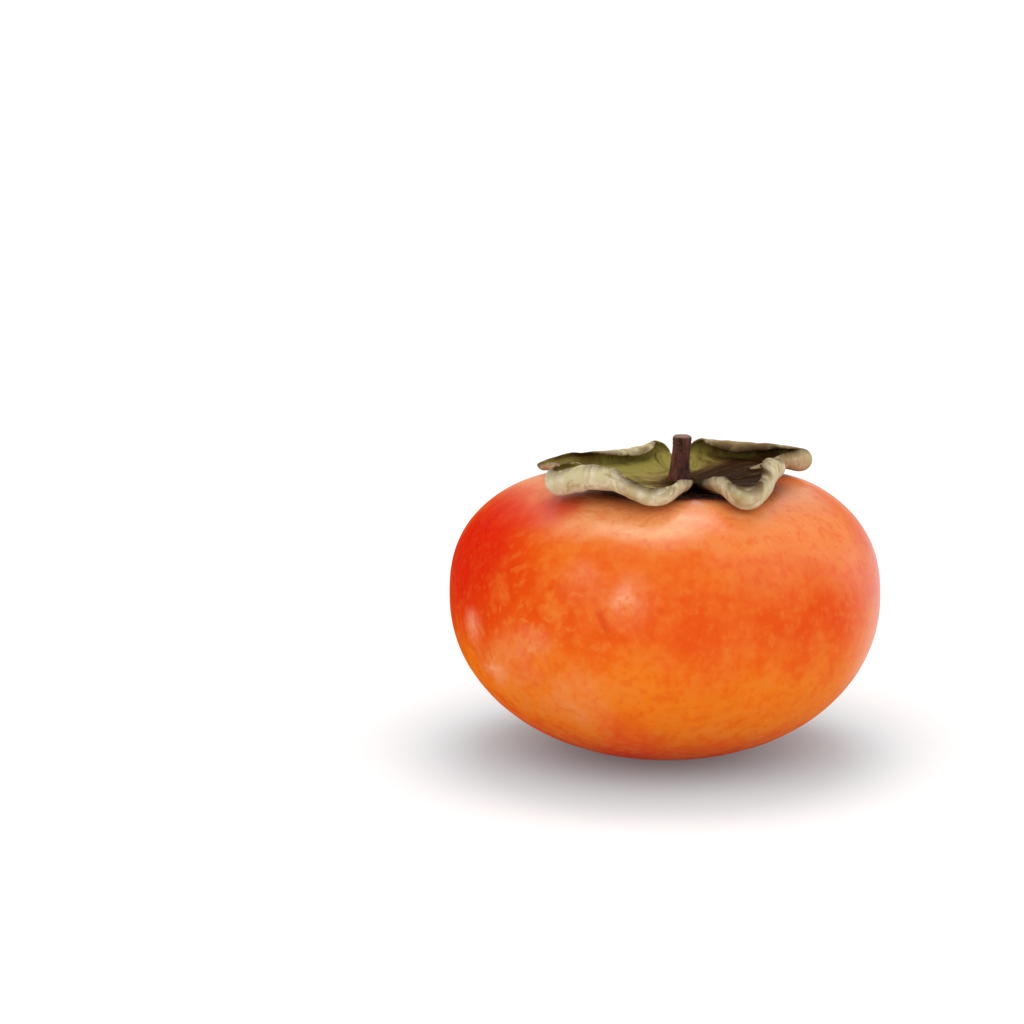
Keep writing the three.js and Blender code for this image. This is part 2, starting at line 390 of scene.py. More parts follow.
class Paint:
    """A material in the making, in the part's own coordinates."""

    def __init__(self, name: str) -> None:
        """Start a material.

        Args:
            name: its name.
        """
        self.material = bpy.data.materials.new(name)
        self.material.use_nodes = True
        self.graph = Graph(self.material.node_tree)
        self.place = self.graph.add("ShaderNodeTexCoord").outputs["Object"]

    def close(self, sockets: Links,
              relief: Optional[tuple[float, float, Expression]] = None) -> bpy.types.Material:
        """Give the material its surface.

        Args:
            sockets: the values and links of the surface's sockets.
            relief: a bump's strength, depth and pattern, if there is one.

        Returns:
            The material.
        """
        if relief:
            values = dict(zip(("Strength", "Distance", "Height"), relief))
            sockets["Normal"] = self.graph.add("ShaderNodeBump", inputs=values).outputs[0]
        surface = self.graph.add("ShaderNodeBsdfPrincipled", inputs=sockets)
        self.graph.add("ShaderNodeOutputMaterial", inputs={"Surface": surface.outputs[0]})
        return self.material


@dataclass(frozen=True)
class SkinFinish:
    """Smooth waxy skin: orange, redder above and on the left flank, with pale bloom and fine specks, painted
    highlights on the shoulder, the front and the blossom end, and painted shade round the calyx.

    Its noises are the broad, the mottled and the fine one, that of the patches and that of the flecks.
    """

    foot: Colour = colour("ee3a10")
    low: Colour = colour("ee760a")
    belly: Colour = colour("e97608")
    band: Colour = colour("e25408")
    shoulder: Colour = colour("e66e14")
    # Partly the skin's own paler top and partly a painted highlight where the overhead light falls on the
    # shoulder.
    top: Colour = colour("f4a66a")
    blush: Colour = colour("d81608")
    deep: Colour = colour("dc4406")
    shaded: Colour = colour("8e1c06")
    # Pale waxy bloom, and also the colour of the painted highlight on the front.
    bloom_and_highlight: Colour = colour("f4ab80")
    speck: Colour = colour("e57c2c")
    scar: Colour = colour("d04008")
    under_calyx: Colour = colour("f09a3c")
    # Partly waxy bloom and partly a painted highlight along the four creases of the blossom end.
    blossom: Colour = colour("c97a52")

    noises: tuple[Pattern, ...] = (
        Pattern(38.0, 3.0, 0.55, 0.6), Pattern(150.0, 4.0, 0.62, 0.3), Pattern(900.0, 3.0, 0.6),
        Pattern(170.0, 4.0, 0.55), Pattern(560.0, 4.0, 0.62))
    ramp_height: float = 54 * MM
    ramp_sway: float = 20 * MM
    dark_patch: Step = Step(0.56, 0.28, 0.36)
    light_patch: Step = Step(0.44, 0.70)
    light_fleck: Step = Step(0.50, 0.66, 1.1)
    dark_fleck: Step = Step(0.50, 0.36, 0.30)
    dot_cells: float = 330.0
    dot: Step = Step(0.45, 0.09, 0.8)
    dot_chance: Step = Step(0.35, 1.0)
    specks_shown: float = 0.34

    left_flank: Spot = Spot((-0.0355, -0.014, 0.042), 0.027, 0.006)
    low_left: Spot = Spot((-0.026, -0.028, 0.022), 0.030, 0.006, 0.26)
    right_blush: Spot = Spot((0.030, -0.027, 0.034), 0.020, 0.0, 0.55)
    back_blush: Spot = Spot((0.012, 0.036, 0.036), 0.034, 0.0, 0.7)
    # Painted shade: a red tint on the skin under the left end of the calyx's roll.
    calyx_blush: Spot = Spot((-0.0195, -0.0195, 0.0480), 0.008, 0.002, 0.6)
    # Painted highlight: pale glare on the right front shoulder, laid on in the top colour.
    shoulder_highlight_spots: tuple[Spot, ...] = (
        Spot((0.030, -0.018, 0.044), 0.015, 0.003), Spot((0.017, -0.0265, 0.044), 0.015, 0.003))
    bloom_and_highlight_spots: tuple[Spot, ...] = (
        # The first two spots are a painted highlight on the front; the others are waxy bloom.
        Spot((-0.0070, -0.0386, 0.0366), 0.0034),
        Spot((-0.0066, -0.0386, 0.0368), 0.0072, strength=0.45),
        Spot((-0.0145, -0.0360, 0.0400), 0.0060, strength=0.30),
        Spot((-0.0341, -0.0208, 0.0274), 0.0048, strength=0.80),
        Spot((-0.0308, -0.0233, 0.0210), 0.0056, strength=0.80),
        Spot((-0.0224, -0.0325, 0.0275), 0.0050, strength=0.45),
        Spot((-0.0258, -0.0297, 0.0235), 0.0090, strength=0.26),
        Spot((-0.0151, -0.0337, 0.0172), 0.0110, strength=0.26),
        Spot((0.0200, 0.0330, 0.0330), 0.0080, strength=0.45),
        Spot((0.0370, 0.0080, 0.0250), 0.0060, strength=0.40))
    bloom_grain: Step = Step(0.30, 0.66)
    rub_ends: tuple[tuple[float, ...], ...] = ((-0.0118, -0.0380, 0.0352), (-0.0092, -0.0388, 0.0296))
    rub_width: Step = Step(1.0 * MM, 0.2 * MM, 0.6)

    middle: float = 2.5 * MM
    crown: Step = Step(40 * MM, 45 * MM)
    shaded_ring: Step = Step(25 * MM, 16.5 * MM, 0.85)
    pale_middle: Step = Step(11 * MM, 6 * MM)
    star_base: Step = Step(8 * MM, 3 * MM)
    star_arms: Step = Step(19 * MM, 8 * MM)
    star_ring: Step = Step(5.2 * MM, 2.6 * MM)
    arm_width: float = 1.1 * MM

    wax_shoulder: Step = Step(0.80, 0.93, 0.80)
    wax_right: Step = Step(30 * MM, 39.5 * MM, 0.6)
    wax_least: float = 0.18
    wax_off_left: Step = Step(-37 * MM, -8 * MM, 0.92)
    wax_left: float = 0.08
    wax_roughness: float = 0.27
    roughness: float = 0.36
    relief_strength: float = 0.35
    relief_depth: float = 0.2 * MM
    name: str = "persimmon_skin"

    def build(self) -> bpy.types.Material:
        """Build the skin's material.

        Returns:
            The material, in the part's own coordinates.
        """
        paint = Paint(self.name)
        graph, place = paint.graph, paint.place
        x, y, z = graph.split(place)
        broad, mottle, fine, patches, flecks = (graph.noise(place, pattern) for pattern in self.noises)
        height = around(broad, z, self.ramp_sway) / self.ramp_height
        # The top stop paints part of the shoulder's highlight into the skin's colour.
        stops = ((0.08, self.foot), (0.23, self.low), (0.38, self.belly), (0.56, self.band),
                 (0.72, self.band), (0.87, self.shoulder), (0.945, self.top))
        ground = graph.add("ShaderNodeValToRGB", {"stops": stops}, {0: height}).outputs[0]
        flank = graph.near(place, self.left_flank)
        shown = (self.specks_shown + graph.near(place, self.low_left)) * (1.0 - flank * 0.75)
        radius = root_of_squares(x - self.middle, y)
        crown = self.crown.of(z)
        shade = graph.layers(
            ground,
            (self.blush, flank * around(mottle, 0.95, 0.5)),
            (self.blush, graph.near(place, self.right_blush) * broad),
            # painted highlight on the right front shoulder
            *((self.top, graph.near(place, spot) * around(broad, 0.5, 0.6)) for spot in self.shoulder_highlight_spots),
            (self.blush, graph.near(place, self.back_blush) * broad),
            (self.deep, self.dark_patch.of(patches)),
            (self.speck, self.light_patch.of(patches) * shown),
            (self.speck, self.light_fleck.of(flecks) * shown),
            (self.deep, self.dark_fleck.of(flecks)),
            (self.speck, self.dots(graph, place) * shown),
            # waxy bloom and a painted highlight on the front
            (self.bloom_and_highlight, self.bloom_and_highlight_mask(graph, place, mottle * 0.8 + fine * 0.2)),
            (self.scar, self.rub_mask(graph, place)),
            # painted shade under the calyx's left roll
            (self.blush, graph.near(place, self.calyx_blush)),
            (self.shaded, self.shaded_ring.of(radius) * crown),
            (self.under_calyx, self.pale_middle.of(radius) * crown),
            # the blossom end's star: partly bloom, partly a painted highlight in its creases
            (self.blossom, self.star_mask(x, y) * self.star_base.of(z) * around(mottle, 0.75, 0.7)))
        return paint.close({
            "Base Color": shade, "Roughness": around(fine, around(mottle, self.roughness, 0.22), 0.1),
            "Specular IOR Level": 0.0, "Coat Weight": self.wax(x, height),
            "Coat Roughness": self.wax_roughness},
            (self.relief_strength, self.relief_depth, mottle * 0.8 + fine * 0.35 + broad * 0.5))

    def wax(self, x: Expression, height: Expression) -> Expression:
        """How much wax the skin keeps: most on the shoulder and the right, little on the blushed left."""
        kept = self.wax_shoulder.of(height) + self.wax_right.of(x) + self.wax_least
        return kept * (self.wax_off_left.of(x) + self.wax_left)

    def dots(self, graph: Graph, place: bpy.types.NodeSocket) -> Expression:
        """Soft round dots, strong in some cells and faint in others.

        Args:
            graph: the material's graph.
            place: the coordinates.

        Returns:
            A mask from 0 to the dots' strength.
        """
        cells = graph.add("ShaderNodeTexVoronoi", {"feature": "F1"}, {
            "Vector": place, "Scale": self.dot_cells})
        distance = Expression(graph, graph.socket(cells.outputs, "Distance"))
        chance, _, _ = graph.split(graph.socket(cells.outputs, "Color"))
        return self.dot.of(distance) * self.dot_chance.of(chance)

    def bloom_and_highlight_mask(self, graph: Graph, place: bpy.types.NodeSocket, noise: Expression) -> Expression:
        """The pale waxy patches and the painted highlight on the front, broken up by a noise."""
        patches = sum((graph.near(place, spot) for spot in self.bloom_and_highlight_spots), 0.0)
        return patches * self.bloom_grain.of(noise)

    def rub_mask(self, graph: Graph, place: bpy.types.NodeSocket) -> Expression:
        """The short thin rub mark on the front.

        Args:
            graph: the material's graph.
            place: the coordinates.

        Returns:
            A mask that is strongest in the middle of the mark.
        """
        start, end = (Vector(point) for point in self.rub_ends)
        half = (end - start).length / 2
        offset = graph.add("ShaderNodeVectorMath", {"operation": "SUBTRACT"},
                           {0: place, 1: tuple((start + end) / 2)}).outputs[0]
        along = graph.number("ShaderNodeVectorMath", {"operation": "DOT_PRODUCT"},
                             {0: offset, 1: tuple((end - start).normalized())}, "Value")
        length = graph.number("ShaderNodeVectorMath", {"operation": "LENGTH"}, {0: offset}, "Value")
        off = greater(length * length - along * along, 0.0) ** 0.5
        return self.rub_width.of(off) * Step(half, half / 2).of(abs(along))

    def star_mask(self, x: Expression, y: Expression) -> Expression:
        """The four-armed star of the blossom end, with its ring round the dimple.

        Args:
            x: the place from left to right.
            y: the place from front to back.

        Returns:
            A mask from 0 to 1.
        """
        radius = root_of_squares(x, y)
        across = off_diagonal(arc_tangent(y, x), radius) / self.arm_width
        return greater(exponential(-(across * across)) * self.star_arms.of(radius), self.star_ring.of(radius))


class Face(Enum):
    """The two faces of the calyx sheet, as the value of its face attribute."""

    UNDER = 0.0
    UPPER = 1.0


@dataclass(frozen=True)
class CalyxFinish:
    """Dry leathery calyx: pale felt below, olive to golden above, brown where it has dried most, and painted
    shade in the hollow on its right and in the front notch.

    Its noises are the broad, the mottled and the fine one. Veins, fibres and creases follow the sheet.
    """

    felt: Colour = colour("c8bb92")
    felt_light: Colour = colour("d8ceb0")
    felt_shade: Colour = colour("9c7c48")
    olive: Colour = colour("928641")
    golden: Colour = colour("a08a50")
    brown: Colour = colour("5a3c1c")
    dark: Colour = colour("2c190a")
    tip: Colour = colour("5a2416")

    noises: tuple[Pattern, ...] = (
        Pattern(120.0, 3.0, 0.55, 0.5), Pattern(420.0, 4.0, 0.62), Pattern(2200.0, 3.0, 0.6))
    fibre: Pattern = Pattern(1300.0, 3.0, 0.6)
    fibre_length: float = 0.22
    crease: Pattern = Pattern(700.0, 3.0, 0.55)
    crease_length: float = 0.25

    felt_mottle: Step = Step(0.42, 0.62)
    felt_patch: Step = Step(0.52, 0.70, 0.75)
    felt_fibre: Step = Step(0.52, 0.70, 0.55)
    felt_crease: Step = Step(0.54, 0.68, 0.6)
    felt_speck: Step = Step(0.62, 0.74, 0.45)
    collar_brown: Step = Step(16 * MM, 10 * MM)
    golden_middle: Step = Step(13 * MM, 4 * MM)
    brown_patch: Step = Step(0.50, 0.66, 0.7)
    brown_fibre: Step = Step(0.50, 0.70, 0.45)
    brown_stain_and_shade: Step = Step(0.12, 0.50)
    dark_stain_and_shade: Step = Step(0.34, 0.66, 0.92)
    vein_mottle: Step = Step(0.36, 0.66, 0.26)
    dark_speck: Step = Step(0.64, 0.76, 0.4)
    edge_brown: Step = Step(0.34, 0.56, 0.9)
    edge_dark: Step = Step(0.50, 0.62, 0.8)
    left_tip: Step = Step(-21 * MM, -26 * MM, 0.9)

    middle: float = 2.5 * MM
    # Dried brown and painted shade: the dark patch in the hollow on the right, under the overhanging rolls.
    stain_and_shade: Spot = Spot((0.0170, -0.0030, 0.051), 0.027, 0.006)
    # Partly dried brown and partly painted shade, deep in the front notch between the lobes.
    front_hollow: Spot = Spot((0.0048, -0.0112, 0.0505), 0.0062, 0.0030, 0.85)
    roughness: float = 0.66
    gloss: float = 0.03
    relief_strength: float = 0.7
    relief_depth: float = 0.3 * MM
    name: str = "calyx_leaf"

    def build(self) -> bpy.types.Material:
        """Build the material of the calyx sheet, which reads the sheet's own attributes.

        Returns:
            The material.
        """
        paint = Paint(self.name)
        graph, place = paint.graph, paint.place
        x, y, _ = graph.split(place)
        radius = root_of_squares(x - self.middle, y)
        face, vein, edge, along, across = (
            graph.number("ShaderNodeAttribute", {"attribute_name": name}, output="Fac")
            for name in ("face", "vein", "edge", "along", "across"))
        broad, mottle, fine = (graph.noise(place, pattern) for pattern in self.noises)
        fibres = graph.noise(graph.join(along, across * self.fibre_length, 0.0), self.fibre)
        creases = graph.noise(graph.join(along * self.crease_length, across, 0.0), self.crease)
        felt = graph.layers(
            self.felt,
            (self.felt_light, self.felt_mottle.of(mottle)),
            (self.felt_shade, self.felt_patch.of(broad)),
            (self.felt_shade, vein * 0.35),
            (self.felt_shade, self.felt_fibre.of(fibres)),
            (self.felt_shade, self.felt_crease.of(creases)),
            (self.brown, self.felt_speck.of(fine)),
            (self.brown, self.collar_brown.of(radius)))
        # dried brown with painted shade in the right hollow
        stain_and_shade = around(broad, graph.near(place, self.stain_and_shade), 1.1)
        upper = graph.layers(
            self.olive,
            (self.golden, self.golden_middle.of(around(broad, radius, 12 * MM))),
            (self.brown, self.brown_patch.of(broad)),
            (self.golden, vein * 0.12),
            (self.brown, self.brown_fibre.of(fibres)),
            (self.brown, self.brown_stain_and_shade.of(stain_and_shade)),
            (self.dark, self.dark_stain_and_shade.of(around(mottle, stain_and_shade, 0.5))),
            (self.golden, vein * self.vein_mottle.of(mottle)),
            (self.dark, self.dark_speck.of(fine)))
        shade = graph.layers(
            felt,
            (upper, face),
            (self.tip, self.left_tip.of(around(mottle, x, 4 * MM))),
            (self.brown, edge * self.edge_brown.of(mottle)),
            (self.dark, edge * self.edge_dark.of(broad)),
            # dried brown and painted shade in the front notch
            (self.dark, graph.near(place, self.front_hollow)))
        relief = mottle * 0.7 + fine * 0.4 + vein * 0.3 - fibres * 0.8 - creases * 0.9
        return paint.close({
            "Base Color": shade, "Roughness": around(mottle, self.roughness, 0.3),
            "Specular IOR Level": self.gloss}, (self.relief_strength, self.relief_depth, relief))


@dataclass(frozen=True)
class BarkFinish:
    """Dry bark with streaks along the stalk, paler above the height where it was cut.

    Its noises are the broad and the fine one.
    """

    ground: Colour
    light: Colour
    dark: Colour
    name: str
    streak: float = 3.5
    cut: Colour = colour("8c6a52")
    cut_height: float = 1.0
    cut_blend: float = 0.2 * MM
    streaks: Pattern = Pattern(900.0, 4.0, 0.6, 0.4)
    noises: tuple[Pattern, ...] = (Pattern(260.0, 3.0, 0.5), Pattern(3200.0, 2.0, 0.6))
    dark_streak: Step = Step(0.48, 0.66)
    light_streak: Step = Step(0.48, 0.34, 0.8)
    dark_patch: Step = Step(0.50, 0.68, 0.5)
    roughness: float = 0.6
    gloss: float = 0.3
    relief_strength: float = 0.7
    relief_depth: float = 0.25 * MM

    def build(self) -> bpy.types.Material:
        """Build the bark's material.

        Returns:
            The material, with its streaks along Z.
        """
        paint = Paint(self.name)
        graph, place = paint.graph, paint.place
        _, _, z = graph.split(place)
        long = graph.add("ShaderNodeMapping", inputs={
            "Vector": place, "Scale": (1.0, 1.0, 1.0 / self.streak)}).outputs[0]
        streaks = graph.noise(long, self.streaks)
        broad, fine = (graph.noise(place, pattern) for pattern in self.noises)
        cut = ease(z, self.cut_height, self.cut_height + self.cut_blend)
        shade = graph.layers(
            self.ground,
            (self.dark, self.dark_streak.of(streaks)),
            (self.light, self.light_streak.of(streaks)),
            (self.dark, self.dark_patch.of(broad)),
            (self.cut, cut * (0.4 + broad)))
        return paint.close({
            "Base Color": shade, "Roughness": around(broad, self.roughness, 0.3),
            "Specular IOR Level": self.gloss},
            (self.relief_strength, self.relief_depth, streaks + fine * 0.35))


@dataclass(frozen=True)
class GroundFinish:
    """A plain matt ground near white, cooler under the fruit, which keeps the shadow neutral."""

    pale: Colour = colour("f4f6f7")
    paler: Colour = colour("f8f9f9")
    cool: Colour = colour("b8e0ec")
    glow: Colour = colour("ffffff")
    glow_strength: float = 0.09
    roughness: float = 0.8
    mottle: Pattern = Pattern(30.0, 2.0)
    under_fruit: Spot = Spot((0.0, 0.0, 0.0), 0.066, 0.018)
    name: str = "pale_ground"

    def build(self) -> bpy.types.Material:
        """Build the ground's material.

        Returns:
            The material.
        """
        paint = Paint(self.name)
        shade = paint.graph.layers(
            self.pale, (self.paler, paint.graph.noise(paint.place, self.mottle)),
            (self.cool, paint.graph.near(paint.place, self.under_fruit)))
        return paint.close({
            "Base Color": shade, "Roughness": self.roughness, "Specular IOR Level": 0.0,
            "Emission Color": self.glow, "Emission Strength": self.glow_strength})


class GeometryRecipe:
    """A Geometry Nodes tree with named inputs, which turns an object into a plain mesh."""

    def __init__(self, name: str) -> None:
        """Start a tree with a geometry input and output.

        Args:
            name: its name.
        """
        self.group = bpy.data.node_groups.new(name, "GeometryNodeTree")
        self.group.interface.new_socket("Geometry", in_out="OUTPUT", socket_type="NodeSocketGeometry")
        self.group.interface.new_socket("Geometry", in_out="INPUT", socket_type="NodeSocketGeometry")
        self.graph = Graph(self.group)
        self.entry = self.graph.add("NodeGroupInput")
        self.values: dict[str, Any] = {}

    def geometry(self) -> bpy.types.NodeSocket:
        """The geometry that the tree is given."""
        return self.entry.outputs["Geometry"]

    def size(self, name: str, value: float) -> Expression:
        """Add a named number input.

        Args:
            name: the input's name.
            value: its value for this object.

        Returns:
            The input as an expression.
        """
        socket = self.group.interface.new_socket(name, in_out="INPUT", socket_type="NodeSocketFloat")
        self.values[socket.identifier] = float(value)
        return Expression(self.graph, self.graph.socket(self.entry.outputs, socket.identifier))

    def count(self, name: str, value: int) -> bpy.types.NodeSocket:
        """Add a named whole-number input, such as a count or a seed.

        Args:
            name: the input's name.
            value: its value for this object.

        Returns:
            The input's socket.
        """
        socket = self.group.interface.new_socket(name, in_out="INPUT", socket_type="NodeSocketInt")
        self.values[socket.identifier] = int(value)
        return self.graph.socket(self.entry.outputs, socket.identifier)

    def finish(self, geometry: bpy.types.NodeSocket, material: bpy.types.Material) -> None:
        """Smooth and realise the geometry, give it its material and send it out.

        Args:
            geometry: what the tree has made.
            material: its material.
        """
        smooth = self.graph.add("GeometryNodeSetShadeSmooth", inputs={"Geometry": geometry})
        real = self.graph.add("GeometryNodeRealizeInstances", inputs={"Geometry": smooth.outputs[0]})
        dressed = self.graph.add("GeometryNodeSetMaterial", inputs={
            "Geometry": real.outputs[0], "Material": material})
        self.graph.add("NodeGroupOutput", inputs={"Geometry": dressed.outputs[0]})

    def make(self, name: str, source: bpy.types.ID) -> bpy.types.Object:
        """Run the tree on source data and keep the result as a plain mesh.

        Args:
            name: the new object's name.
            source: the mesh that the tree starts from.

        Returns:
            The mesh object, with no modifier on it.
        """
        carrier = add_object(name, source)
        modifier = carrier.modifiers.new(self.group.name, "NODES")
        modifier.node_group = self.group
        for identifier, value in self.values.items():
            modifier[identifier] = value
        bpy.context.view_layer.update()
        evaluated = carrier.evaluated_get(bpy.context.evaluated_depsgraph_get())
        mesh = bpy.data.meshes.new_from_object(evaluated)
        bpy.data.objects.remove(carrier)
        return add_object(name, mesh)


def add_object(name: str, data: Optional[bpy.types.ID]) -> bpy.types.Object:
    """Add an object to the scene.

    Args:
        name: its name.
        data: its mesh, light or camera.

    Returns:
        The object.
    """
    made = bpy.data.objects.new(name, data)
    bpy.context.scene.collection.objects.link(made)
    return made


def place_piece(piece: bpy.types.Object, slot: str, *nodes: str) -> bpy.types.Object:
    """Make a finished piece ride on the body and stand for its nodes.

    Args:
        piece: the piece's object.
        slot: not used.
        nodes: the CAD nodes that it replaces.

    Returns:
        The piece.
    """
    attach(piece, BODY)
    if nodes:
        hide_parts(*nodes)
    LOG.info("%s: %d faces", piece.name, len(piece.data.polygons))
    return piece


def ring_turns(columns: int, first: float = 0.0) -> np.ndarray:
    """Evenly spaced turns round a ring, in radians."""
    return first + np.arange(columns) * 2 * math.pi / columns


def level_ring(turns: np.ndarray, radius: Quantity, height: float, middle: float = 0.0) -> np.ndarray:
    """A ring of points at one height, round a middle on the X axis."""
    return np.column_stack([middle + radius * np.cos(turns), radius * np.sin(turns),
                            np.full(len(turns), height)])


def loft_rings(name: str, rings: Sequence[np.ndarray], lower: Sequence[float],
               upper: Sequence[float]) -> bpy.types.Object:
    """Join rings of points, from a lower pole to an upper one, into one closed smooth mesh.

    Args:
        name: the object's name.
        rings: the rings, counter-clockwise as seen from above.
        lower: the lower pole.
        upper: the upper pole.

    Returns:
        The object, linked to the scene.
    """
    columns = len(rings[0])
    points = np.vstack([[lower], *rings, [upper]])
    after = [(column + 1) % columns for column in range(columns)]
    faces: list[tuple[int, ...]] = [(0, 1 + after[column], 1 + column) for column in range(columns)]
    for ring in range(len(rings) - 1):
        low, high = 1 + ring * columns, 1 + (ring + 1) * columns
        faces += [(low + column, low + after[column], high + after[column], high + column)
                  for column in range(columns)]
    last = 1 + (len(rings) - 1) * columns
    faces += [(last + column, last + after[column], len(points) - 1) for column in range(columns)]
    mesh = bpy.data.meshes.new(name)
    mesh.from_pydata(points.tolist(), [], faces)
    mesh.polygons.foreach_set("use_smooth", [True] * len(mesh.polygons))
    return add_object(name, mesh)


@dataclass
class Fruit:
    """The fruit's skin, made by its rule from a flat grid."""

    form: FruitForm = field(default_factory=FruitForm)
    columns: int = 340
    rings: int = 230
    seam_width: float = 0.002 * MM
    seed: int = 7
    unevenness: float = 0.12 * MM
    bumps: Pattern = Pattern(70.0, 2.0)
    above_foot: Step = Step(6 * MM, 14 * MM)
    below_crown: Step = Step(46 * MM, 40 * MM)

    def recipe(self, material: bpy.types.Material) -> GeometryRecipe:
        """Build the tree that wraps a grid round the fruit.

        Args:
            material: the skin.

        Returns:
            The tree, with the fruit's sizes as its inputs.
        """
        recipe = GeometryRecipe("fruit_skin")
        graph = recipe.graph
        form = FruitForm(**{size.name: recipe.size(size.name, getattr(self.form, size.name))
                            for size in fields(self.form)})
        grid = graph.add("GeometryNodeMeshGrid", inputs={
            "Size X": 1.0, "Size Y": 1.0, "Vertices X": recipe.count("Columns", self.columns),
            "Vertices Y": recipe.count("Rings", self.rings)})
        across, upward, _ = graph.split(graph.add("GeometryNodeInputPosition").outputs[0])
        turn = (across + 0.5) * (2 * math.pi)
        rise = upward + 0.5
        upper = rise.math("GREATER_THAN", rise, 0.5)
        slope = (rise + (1.0 - 2.0 * rise) * upper) * math.pi
        power = form.underside_power + (form.shoulder_power - form.underside_power) * upper
        radius = form.equator_radius * greater(sine(slope), 0.0) ** (2.0 / power)
        radius = radius * form.square_factor(turn)
        x, y = radius * cosine(turn), radius * sine(turn)
        low, high = form.underside_height(x, y), form.shoulder_height(x, y)
        wrapped = graph.add("GeometryNodeSetPosition", inputs={
            "Geometry": grid.outputs[0], "Position": graph.join(x, y, low + (high - low) * upper)})
        closed = graph.add("GeometryNodeMergeByDistance", inputs={
            "Geometry": wrapped.outputs[0], "Distance": self.seam_width})
        recipe.finish(self.swell(recipe, closed.outputs[0]), material)
        return recipe

    def swell(self, recipe: GeometryRecipe, geometry: bpy.types.NodeSocket) -> bpy.types.NodeSocket:
        """Give the flank the slight unevenness of a grown fruit.

        Args:
            recipe: the tree that it is added to.
            geometry: the smooth fruit.

        Returns:
            The uneven fruit.
        """
        graph = recipe.graph
        place = graph.add("GeometryNodeInputPosition").outputs[0]
        _, _, z = graph.split(place)
        noise = graph.number("ShaderNodeTexNoise", {"noise_dimensions": "4D"}, {
            "Vector": place, "W": recipe.size("Seed", self.seed), "Scale": self.bumps.scale,
            "Detail": self.bumps.detail})
        flank = self.above_foot.of(z) * self.below_crown.of(z)
        push = around(noise, 0.0, 1.0) * recipe.size("Unevenness", self.unevenness * 2) * flank
        normal = graph.add("GeometryNodeInputNormal").outputs[0]
        offset = graph.add("ShaderNodeVectorMath", {"operation": "SCALE"}, {0: normal, "Scale": push})
        return graph.add("GeometryNodeSetPosition", inputs={
            "Geometry": geometry, "Offset": offset.outputs[0]}).outputs[0]

    def build(self) -> bpy.types.Object:
        """Build and dress the fruit."""
        recipe = self.recipe(SkinFinish().build())
        return place_piece(recipe.make("fruit_skin", bpy.data.meshes.new("fruit_skin_base")), "skin", "fruit")


@dataclass(frozen=True)
class Margin:
    """A control point of the line where the calyx starts to roll, about the middle of the calyx."""

    turn: float
    reach: float
    radius: float
    curl: float
    lift: float

    def row(self) -> list[float]:
        """Its x, y, roll radius, curl and lift, with lengths in metres and the curl in radians."""
        turn = math.radians(self.turn)
        return [self.reach * MM * math.cos(turn), self.reach * MM * math.sin(turn),
                self.radius * MM, math.radians(self.curl), self.lift * MM]


@dataclass(frozen=True)
class Notch:
    """A notch between two lobes: its turn, its reach, and its half widths in degrees.

    The sheet rolls tightly round its bottom and more openly along its sides: each roll is a radius,
    a curl and a lift.
    """

    turn: float
    reach: float
    bottom: float
    mouth: float
    corner_out: float = 1.6
    side_out: float = 7
    bottom_roll: tuple[float, float, float] = (1, 75, 1.3)
    side_roll: tuple[float, float, float] = (1.5, 110, 0.8)

    def side(self, turn: float) -> Margin:
        """A control point on one of its sides."""
        return Margin(turn, self.reach + self.side_out, *self.side_roll)

    def corner(self, turn: float) -> Margin:
        """A control point at one end of its bottom."""
        return Margin(turn, self.reach + self.corner_out, *self.bottom_roll)

    def leaving(self) -> list[Margin]:
        """Its bottom and the side that leads into the next lobe."""
        return [Margin(self.turn, self.reach, *self.bottom_roll), self.corner(self.turn + self.bottom),
                self.side(self.turn + self.mouth)]

    def entering(self) -> list[Margin]:
        """The side that the last lobe comes back along."""
        return [self.side(self.turn - self.mouth), self.corner(self.turn - self.bottom)]


NOTCHES = (Notch(-76, 8.4, 9, 9), Notch(8, 12, 11, 13), Notch(91, 13, 9, 11), Notch(189, 10, 12, 14))
LOBES = (
    (Margin(-68, 30, 2.2, 165, 0.1), Margin(-50, 22.5, 2.5, 180, 0.5), Margin(-17, 17, 2.2, 190, 1.2)),
    (Margin(24, 28, 2.1, 200, 0.5), Margin(52, 21.5, 1.7, 265, 0.2), Margin(76, 21, 1.6, 265, 0.6)),
    (Margin(106, 18, 1.3, 260, 0.1), Margin(138, 16.5, 1.4, 240, 0), Margin(170, 30.5, 1, 50, 0)),
    (Margin(218, 31.5, 2.6, 175, 0), Margin(240, 24, 2, 180, 3.6), Margin(264, 31, 1.5, 170, 0)),
)


